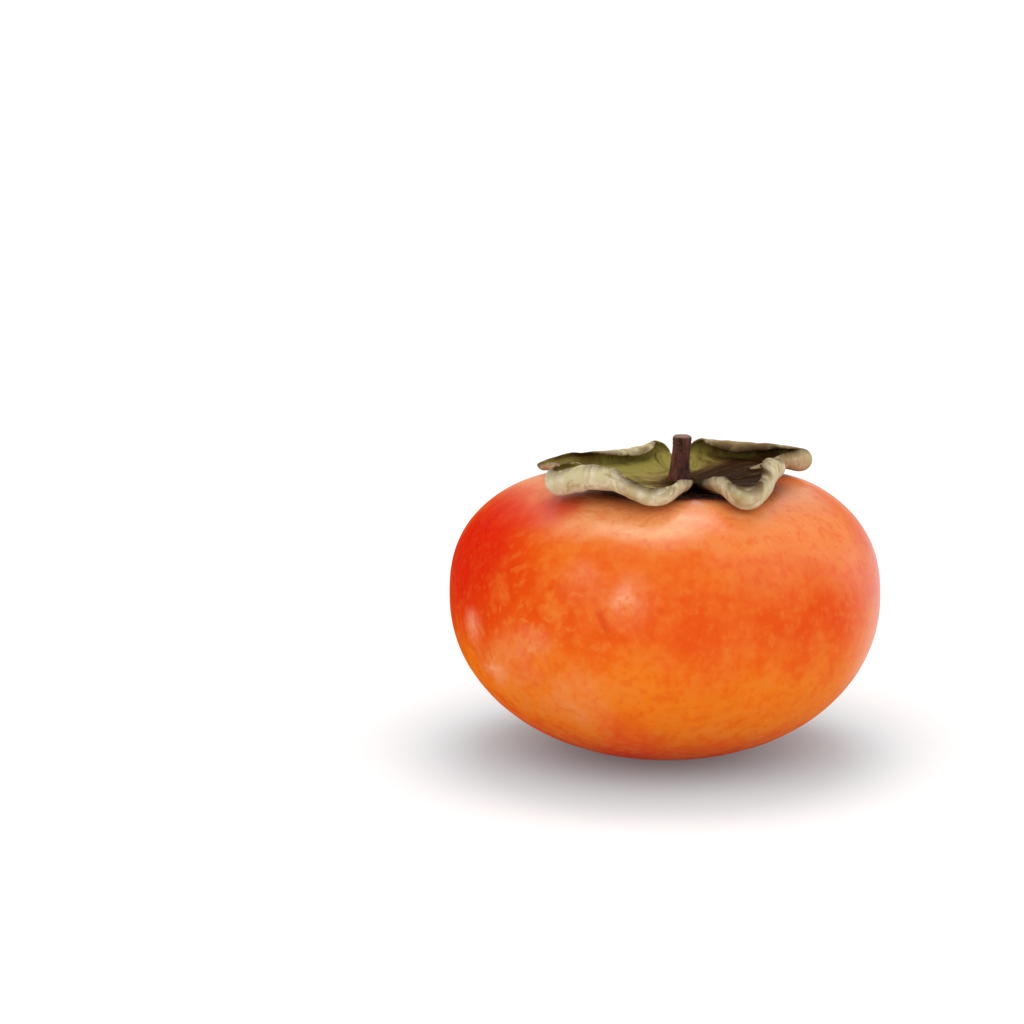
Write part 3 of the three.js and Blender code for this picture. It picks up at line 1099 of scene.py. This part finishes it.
@dataclass
class Calyx:
    """The four-lobed calyx: one leathery sheet that lies in the basin and rolls up at its margins."""

    form: FruitForm = field(default_factory=FruitForm)
    middle: float = 2.5 * MM
    gap: float = 0.35 * MM
    root_thickness: float = 1.2 * MM
    edge_thickness: float = 0.6 * MM
    tip_thickness: float = 0.35
    tip_rings: int = 4
    worn_rings: int = 7
    collar_outer: float = 3.6 * MM
    collar_top: float = 3.1 * MM
    collar_inner: float = 2.5 * MM
    collar_height: float = 0.5 * MM
    socket_radius: float = 2.4 * MM
    socket_floor: float = 0.7 * MM
    root_pull: float = 0.25
    edge_pull: float = 0.1
    columns: int = 600
    margin_steps: int = 24
    sheet_rings: int = 24
    roll_rings: int = 22
    ragged_waves: tuple[Wave, ...] = (Wave(1.0, 13, 0.6), Wave(0.7, 29, 2.1), Wave(0.5, 47, 4.0))
    ragged_height: float = 0.12 * MM
    ragged_curl: float = 0.06
    veins_per_lobe: int = 9
    vein_width: float = 0.13
    vein_wander: float = 0.012
    vein_height: float = 0.10 * MM
    under_vein: float = -0.3
    fine_vein: float = 0.45
    vein_fade: float = 0.75
    crinkle_height: float = 0.11 * MM
    crinkle_waves: tuple[Wave, ...] = (
        Wave(0.55, 61, 0.0, 1.7, 17, 1.5), Wave(0.45, 37, 2.3, 1.3, 11, -3.0))
    crinkle_patches: Wave = Wave(0.45, 7, 0.9, slant=2.0)
    crinkle_start: Step = Step(0.30, 0.60)

    @property
    def turns(self) -> np.ndarray:
        """The turns of the columns, from the first notch on."""
        return ring_turns(self.columns, math.radians(NOTCHES[0].turn))

    def height(self, x: Quantity, y: Quantity) -> Quantity:
        """Height of the middle of the sheet where it lies on the skin, in the calyx's own plan."""
        return self.form.shoulder_height(self.middle + x, y) + self.gap + self.root_thickness / 2

    @property
    def bottom(self) -> float:
        """Height of the middle of its underside."""
        return float(self.height(0.0, 0.0)) - self.root_thickness / 2

    def controls(self) -> np.ndarray:
        """Control points of the margin, all the way round.

        Returns:
            A row for each, as Margin gives it.
        """
        points: list[Margin] = []
        for index, notch in enumerate(NOTCHES):
            points += [*notch.leaving(), *LOBES[index], *NOTCHES[(index + 1) % len(NOTCHES)].entering()]
        return np.array([point.row() for point in points])

    def margin(self) -> np.ndarray:
        """The smooth closed line where the margin starts to roll.

        Returns:
            One evenly spaced row for each column: x, y, roll radius, curl and lift.
        """
        controls = self.controls()
        t = (np.arange(self.margin_steps) / self.margin_steps)[None, :, None]
        weights = ((1 - t) ** 3, 3 * t ** 3 - 6 * t ** 2 + 4, -3 * t ** 3 + 3 * t ** 2 + 3 * t + 1, t ** 3)
        fine = sum(weight * np.roll(controls, 1 - near, axis=0)[:, None, :] / 6
                   for near, weight in enumerate(weights)).reshape(-1, controls.shape[1])
        fine = np.vstack([fine, fine[:1]])
        along = np.concatenate([[0.0], np.cumsum(np.linalg.norm(np.diff(fine[:, :2], axis=0), axis=1))])
        goals = np.linspace(0, along[-1], self.columns, endpoint=False)
        return np.stack([np.interp(goals, along, fine[:, axis]) for axis in range(fine.shape[1])], axis=1)

    def middle_surface(self) -> np.ndarray:
        """The middle surface of the sheet.

        Returns:
            Points as rings from the collar to the tip of the margin, each with one point a column.
        """
        margin = self.margin()
        edge, roll_radius, curl, lift = margin[:, :2], margin[:, 2:3], margin[:, 3], margin[:, 4]
        turns = self.turns
        ragged = sum(wave.at(turns) for wave in self.ragged_waves) / sum(
            wave.strength for wave in self.ragged_waves)
        curl = curl * (1 + self.ragged_curl * ragged)
        root = self.collar_outer * np.stack([np.cos(turns), np.sin(turns)], axis=1)
        step = np.roll(edge, -1, axis=0) - np.roll(edge, 1, axis=0)
        outward = np.stack([step[:, 1], -step[:, 0]], axis=1)
        outward /= np.linalg.norm(outward, axis=1, keepdims=True)
        span = np.linalg.norm(edge - root, axis=1, keepdims=True)
        start = root * (1 + self.root_pull * span / self.collar_outer)
        end = edge - outward * self.edge_pull * span
        rings = []
        for share in np.linspace(0, 1, self.sheet_rings + 1):
            plan = ((1 - share) ** 3 * root + 3 * (1 - share) ** 2 * share * start
                    + 3 * (1 - share) * share ** 2 * end + share ** 3 * edge)
            lifted = lift * ease(share, 0.0, 1.0) + self.ragged_height * ragged * share ** 3
            rings.append(np.column_stack([plan, self.height(plan[:, 0], plan[:, 1]) + lifted]))
        behind = edge - outward * roll_radius
        fall = self.height(edge[:, 0], edge[:, 1]) - self.height(behind[:, 0], behind[:, 1])
        forward = np.column_stack([outward, fall / roll_radius[:, 0]])
        forward /= np.linalg.norm(forward, axis=1, keepdims=True)
        side = np.column_stack([-outward[:, 1], outward[:, 0], np.zeros(self.columns)])
        upward = np.cross(forward, side)
        foot = rings[-1]
        for ring in range(1, self.roll_rings + 1):
            turned = (curl * ring / self.roll_rings)[:, None]
            rings.append(foot + forward * (roll_radius * np.sin(turned))
                         + upward * (roll_radius * (1 - np.cos(turned))))
        return np.array(rings)

    def vein_pattern(self, rings: int) -> np.ndarray:
        """Strength of the veins, which fan out along the columns of each lobe.

        Args:
            rings: how many rings the sheet has.

        Returns:
            Values from 0 to 1, for each ring and column.
        """
        share = np.linspace(0, 1, rings)[:, None]
        lobe = np.arange(self.columns)[None, :] / self.columns * len(NOTCHES)
        wander = self.vein_wander * np.sin(9 * share + 7 * lobe)
        phase = (lobe + wander) * self.veins_per_lobe
        off = np.abs(phase - np.round(phase))
        strong = 1 - self.fine_vein * (np.round(phase).astype(int) % 2)
        return np.exp(-(off / self.vein_width) ** 2) * strong * (1 - self.vein_fade * share)

    def crinkles(self, rings: int) -> np.ndarray:
        """The dry creases that run across the margin.

        Args:
            rings: how many rings the sheet has.

        Returns:
            Their height for each ring and column.
        """
        turns = ring_turns(self.columns)[None, :]
        share = np.linspace(0, 1, rings)[:, None]
        creases = sum(wave.at(turns, share) for wave in self.crinkle_waves)
        patches = 1 - self.crinkle_patches.strength + self.crinkle_patches.at(turns, share)
        return self.crinkle_height * creases * patches * self.crinkle_start.of(share)

    def offset_rings(self, surface: np.ndarray, face: Face) -> np.ndarray:
        """Set a face of the sheet off its middle surface, with the relief of its veins.

        Args:
            surface: the middle surface.
            face: the face.

        Returns:
            The face's points, as the middle surface has them.
        """
        count = len(surface)
        ahead = surface[np.minimum(np.arange(count) + 1, count - 1)]
        back = surface[np.maximum(np.arange(count) - 1, 0)]
        normal = np.cross(ahead - back, np.roll(surface, -1, axis=1) - np.roll(surface, 1, axis=1))
        normal /= np.linalg.norm(normal, axis=2, keepdims=True)
        share = np.minimum(1, np.arange(count) / self.sheet_rings)[:, None]
        thickness = self.root_thickness + (self.edge_thickness - self.root_thickness) * share
        tip = np.clip((count - 1 - np.arange(count)) / self.tip_rings, 0, 1)[:, None]
        thickness = thickness * (self.tip_thickness + (1 - self.tip_thickness) * np.sqrt(tip))
        relief = self.vein_height * self.vein_pattern(count) * tip
        reach = thickness / 2 + (relief if face is Face.UPPER else self.under_vein * relief)
        side = 1 if face is Face.UPPER else -1
        return surface + normal * (side * reach + self.crinkles(count))[:, :, None]

    def rings(self) -> tuple[list[np.ndarray], list[float], list[float]]:
        """All rings of the closed sheet, from its lower middle out and back to its socket.

        Returns:
            The rings, the face value of each, and how near each is to the tip of the margin.
        """
        surface = self.middle_surface()
        lower = list(self.offset_rings(surface, Face.UNDER))
        upper = list(self.offset_rings(surface, Face.UPPER))[::-1]
        rim = self.bottom + self.root_thickness + self.collar_height
        floor = self.bottom + self.socket_floor
        collar = [level_ring(self.turns, radius, height) for radius, height in (
            (self.collar_top, rim), (self.collar_inner, rim), (self.socket_radius, floor))]
        nearness = [max(0.0, 1 - (len(lower) - 1 - index) / self.worn_rings) for index in range(len(lower))]
        faces = [Face.UNDER.value] * len(lower) + [Face.UPPER.value] * (len(upper) + len(collar))
        return lower + upper + collar, faces, nearness + nearness[::-1] + [0.0] * len(collar)

    def spans(self, rings: list[np.ndarray]) -> tuple[np.ndarray, np.ndarray]:
        """Distances along the margin and across the sheet, which its fibres and creases follow.

        Args:
            rings: all rings of the closed sheet.

        Returns:
            Both in metres, for each ring and column.
        """
        margin = rings[self.sheet_rings]
        steps = np.linalg.norm(np.roll(margin, -1, axis=0) - margin, axis=1)
        along = np.abs(np.cumsum(steps) - steps.sum() / 2)
        across = np.cumsum([np.zeros(self.columns)] + [
            np.linalg.norm(after - before, axis=1) for before, after in zip(rings, rings[1:])], axis=0)
        return np.repeat(along[None], len(rings), axis=0), across

    def build(self) -> bpy.types.Object:
        """Build and dress the calyx.

        Returns:
            Its piece, with the values of its faces, edges, veins and distances as attributes.
        """
        rings, faces, edges = self.rings()
        veins = self.vein_pattern(self.sheet_rings + self.roll_rings + 1)
        veins = np.vstack([veins, veins[::-1], np.zeros((len(rings) - 2 * len(veins), self.columns))])
        piece = loft_rings("calyx_leaf", rings, (0, 0, self.bottom), (0, 0, rings[-1][0][2]))
        piece.data.transform(Matrix.Translation((self.middle, 0, 0)))
        along, across = self.spans(rings)
        per_ring = {"face": np.repeat(faces, self.columns), "edge": np.repeat(edges, self.columns),
                    "vein": veins.ravel(), "along": along.ravel(), "across": across.ravel()}
        for name, values in per_ring.items():
            attribute = piece.data.attributes.new(name, "FLOAT", "POINT")
            attribute.data.foreach_set("value", np.concatenate([[values[0]], values, [values[-1]]]))
        piece.data.materials.append(CalyxFinish().build())
        return place_piece(piece, "calyx", "calyx")


@dataclass
class Stem:
    """The short woody stalk, with its foot in the socket of the calyx."""

    calyx: Calyx
    top: float = 59.2 * MM
    top_rim: float = 0.15 * MM
    cut_depth: float = 0.3 * MM
    foot_gap: float = 0.3 * MM
    lean: float = 0.5 * MM
    leaning: Step = Step(0.1, 1.0)
    ridges: int = 5
    ridge_depth: float = 0.035
    ridge_twist: float = math.radians(40)
    grain: tuple[tuple[float, int, float], ...] = ((0.012, 17, 2.0), (0.008, 31, -3.0))
    columns: int = 72
    ring_shares: tuple[tuple[float, float, int], ...] = ((0, 0.9, 40), (0.915, 1, 12))
    outline: tuple[tuple[float, float], ...] = (
        (0, 2.0), (0.06, 2.1), (0.16, 2.02), (0.3, 1.82), (0.48, 1.7), (0.68, 1.64), (0.84, 1.66),
        (0.93, 1.74), (0.975, 1.7), (1, 1.45))
    lenticel_rise: tuple[float, float] = (52.5 * MM, 58.6 * MM)
    lenticel_spacing: float = 0.9 * MM
    lenticel_density: float = 46e5
    lenticel_radius: float = 0.14 * MM
    lenticel_shape: tuple[float, float, float] = (0.8, 1.5, 0.45)
    seed: int = 3

    def build(self) -> list[bpy.types.Object]:
        """Build and dress the stalk and its lenticels.

        Returns:
            Both pieces.
        """
        bark = BarkFinish(colour("5a2c22"), colour("7c4630"), colour("2c150f"), "stalk_bark",
                          cut_height=self.top - self.cut_depth)
        stalk = self.stalk(bark.build())
        cork = BarkFinish(colour("6e4334"), colour("8a5c48"), colour("4a2a20"), "lenticel_cork", streak=1.0)
        marks = self.lenticel_recipe(cork.build()).make("stalk_lenticels", stalk.data.copy())
        return [place_piece(stalk, "stalk", "stem"), place_piece(marks, "stalk")]

    def stalk(self, material: bpy.types.Material) -> bpy.types.Object:
        """Make the stalk's own mesh.

        Args:
            material: its bark.

        Returns:
            The stalk.
        """
        foot = self.calyx.bottom + self.calyx.socket_floor + self.foot_gap
        middle = self.calyx.middle
        shares, radii = zip(*self.outline)
        turns = ring_turns(self.columns)
        rings = []
        for share in np.concatenate([np.linspace(*span) for span in self.ring_shares]):
            ridge = 1 + self.ridge_depth * np.cos(self.ridges * turns + self.ridge_twist * share)
            grain = 1 + sum(depth * np.cos(count * turns + twist * share)
                            for depth, count, twist in self.grain)
            radius = np.interp(share, shares, radii) * MM * ridge * grain
            rings.append(level_ring(turns, radius, foot + (self.top - foot) * share,
                                    middle + self.lean * self.leaning.of(share)))
        tip = (middle + self.lean, 0, self.top - self.top_rim)
        stalk = loft_rings("stalk", rings, (middle, 0, foot), tip)
        stalk.data.materials.append(material)
        return stalk

    def lenticel_recipe(self, material: bpy.types.Material) -> GeometryRecipe:
        """Build the tree that scatters small corky dots over the stalk.

        Args:
            material: their cork.

        Returns:
            The tree.
        """
        recipe = GeometryRecipe("stalk_lenticels")
        graph = recipe.graph
        _, _, z = graph.split(graph.add("GeometryNodeInputPosition").outputs[0])
        low, high = self.lenticel_rise
        spread = graph.add("GeometryNodeDistributePointsOnFaces", {"distribute_method": "POISSON"}, {
            "Mesh": recipe.geometry(),
            "Selection": z.math("GREATER_THAN", z, low) * z.math("LESS_THAN", z, high),
            "Distance Min": recipe.size("Spacing", self.lenticel_spacing),
            "Density Max": recipe.size("Density", self.lenticel_density),
            "Seed": recipe.count("Seed", self.seed)})
        dot = graph.add("GeometryNodeMeshIcoSphere", inputs={
            "Radius": recipe.size("Dot Radius", self.lenticel_radius), "Subdivisions": 1})
        placed = graph.add("GeometryNodeInstanceOnPoints", inputs={
            "Points": spread.outputs["Points"], "Instance": dot.outputs[0],
            "Rotation": spread.outputs["Rotation"], "Scale": self.lenticel_shape})
        recipe.finish(placed.outputs[0], material)
        return recipe


@dataclass
class StylePoint:
    """The dry remains of the style in the dimple of the blossom end."""

    form: FruitForm = field(default_factory=FruitForm)
    gap: float = 0.3 * MM
    depth: float = 0.76 * MM
    columns: int = 40
    crinkles: tuple[tuple[float, int], ...] = ((0.05, 4), (0.03, 11))
    outline: tuple[tuple[float, float], ...] = (
        (0.75, 0.2), (0.73, 0.33), (0.6, 0.42), (0.5, 0.6), (0.38, 0.85), (0.25, 1.0), (0.1, 1.08), (0, 1.1))

    def build(self) -> bpy.types.Object:
        """Build and dress the style's remains.

        Returns:
            Their piece.
        """
        top = float(self.form.underside_height(0.0, 0.0)) - self.gap
        turns = ring_turns(self.columns)
        crinkle = 1 + sum(depth * np.cos(count * turns) for depth, count in self.crinkles)
        rings = [level_ring(turns, radius * MM * crinkle, top - down * MM) for down, radius in self.outline]
        piece = loft_rings("style_remains", rings, (0, 0, top - self.depth), (0, 0, top))
        finish = BarkFinish(colour("3a2418"), colour("5c3c26"), colour("1a0f0a"), "style_dry", streak=1.0)
        piece.data.materials.append(finish.build())
        return place_piece(piece, "style", "style_point")


@dataclass(frozen=True)
class SkyLight:
    """A soft even light from one side of the sky: where it comes from, its width in degrees, its strength."""

    name: str
    direction: tuple[float, float, float]
    spread: float
    strength: float

    def build(self) -> None:
        """Hang the light."""
        light = bpy.data.lights.new(self.name, "SUN")
        light.angle, light.energy = math.radians(self.spread), self.strength
        aim = (-Vector(self.direction)).to_track_quat("-Z", "Y")
        add_object(self.name, light).rotation_euler = aim.to_euler()


@dataclass
class Studio:
    """The pale ground, the soft light and the camera at the photograph's viewing angle."""

    ground_size: float = 14.0
    surround: float = 0.68
    lights: tuple[SkyLight, ...] = (
        SkyLight("overhead_soft_box", (0.02, 0.34, 0.94), 34, 0.64),
        SkyLight("front_top_fill", (0.05, -0.60, 0.80), 80, 0.52),
        SkyLight("front_fill", (-0.22, -0.93, 0.28), 110, 0.70),
        SkyLight("rim_light", (0.88, 0.42, 0.22), 40, 0.45))
    elevation: float = 12.5
    distance: float = 0.6
    frame_pixels: float = 1024
    pixels_per_metre: float = 5360
    fruit_pixel: tuple[float, float] = (665, 591.5)
    target: tuple[float, float, float] = (0, 0, 29.4 * MM)
    sensor: float = 36.0
    clip: tuple[float, float] = (0.01, 20.0)

    def build(self) -> None:
        """Build the ground, the light and the camera."""
        self.ground()
        self.world()
        for light in self.lights:
            light.build()
        self.camera()

    def ground(self) -> None:
        """Lay a plain pale floor, which fades into the world."""
        mesh = bpy.data.meshes.new("ground")
        half = self.ground_size / 2
        corners = [(-half, -half, 0), (half, -half, 0), (half, half, 0), (-half, half, 0)]
        mesh.from_pydata(corners, [], [(0, 1, 2, 3)])
        mesh.materials.append(GroundFinish().build())
        floor = add_object("ground", mesh)

    def world(self) -> None:
        """Surround everything with even white."""
        world = bpy.data.worlds.new("surround")
        bpy.context.scene.world = world
        world.use_nodes = True
        graph = Graph(world.node_tree)
        back = graph.add("ShaderNodeBackground", inputs={"Color": (1, 1, 1, 1), "Strength": self.surround})
        graph.add("ShaderNodeOutputWorld", inputs={"Surface": back.outputs[0]})

    def camera(self) -> None:
        """Set up the camera, turned so that the fruit stands where it does in the photograph's frame."""
        data = bpy.data.cameras.new("camera")
        data.sensor_width = self.sensor
        data.lens = self.sensor * self.distance / (self.frame_pixels / self.pixels_per_metre)
        data.clip_start, data.clip_end = self.clip
        camera = add_object("camera", data)
        lift = math.radians(self.elevation)
        look = Vector((0, math.cos(lift), -math.sin(lift)))
        right = Vector((1, 0, 0))
        up = right.cross(look)
        camera.location = Vector(self.target) - look * self.distance
        off_x = (self.fruit_pixel[0] - self.frame_pixels / 2) / self.pixels_per_metre / self.distance
        off_y = (self.frame_pixels / 2 - self.fruit_pixel[1]) / self.pixels_per_metre / self.distance
        camera.rotation_mode = "QUATERNION"
        camera.rotation_quaternion = (look - right * off_x - up * off_y).to_track_quat("-Z", "Y")
        bpy.context.scene.camera = camera


def main() -> None:
    """Build every piece in order and report it."""
    logging.basicConfig(level=logging.INFO, format="%(name)s: %(message)s")
    bpy.context.scene.view_settings.view_transform = "Standard"
    form = FruitForm()
    Fruit(form).build()
    calyx = Calyx(form)
    calyx.build()
    Stem(calyx).build()
    StylePoint(form).build()
    Studio().build()


if __name__ == "__main__":
    main()
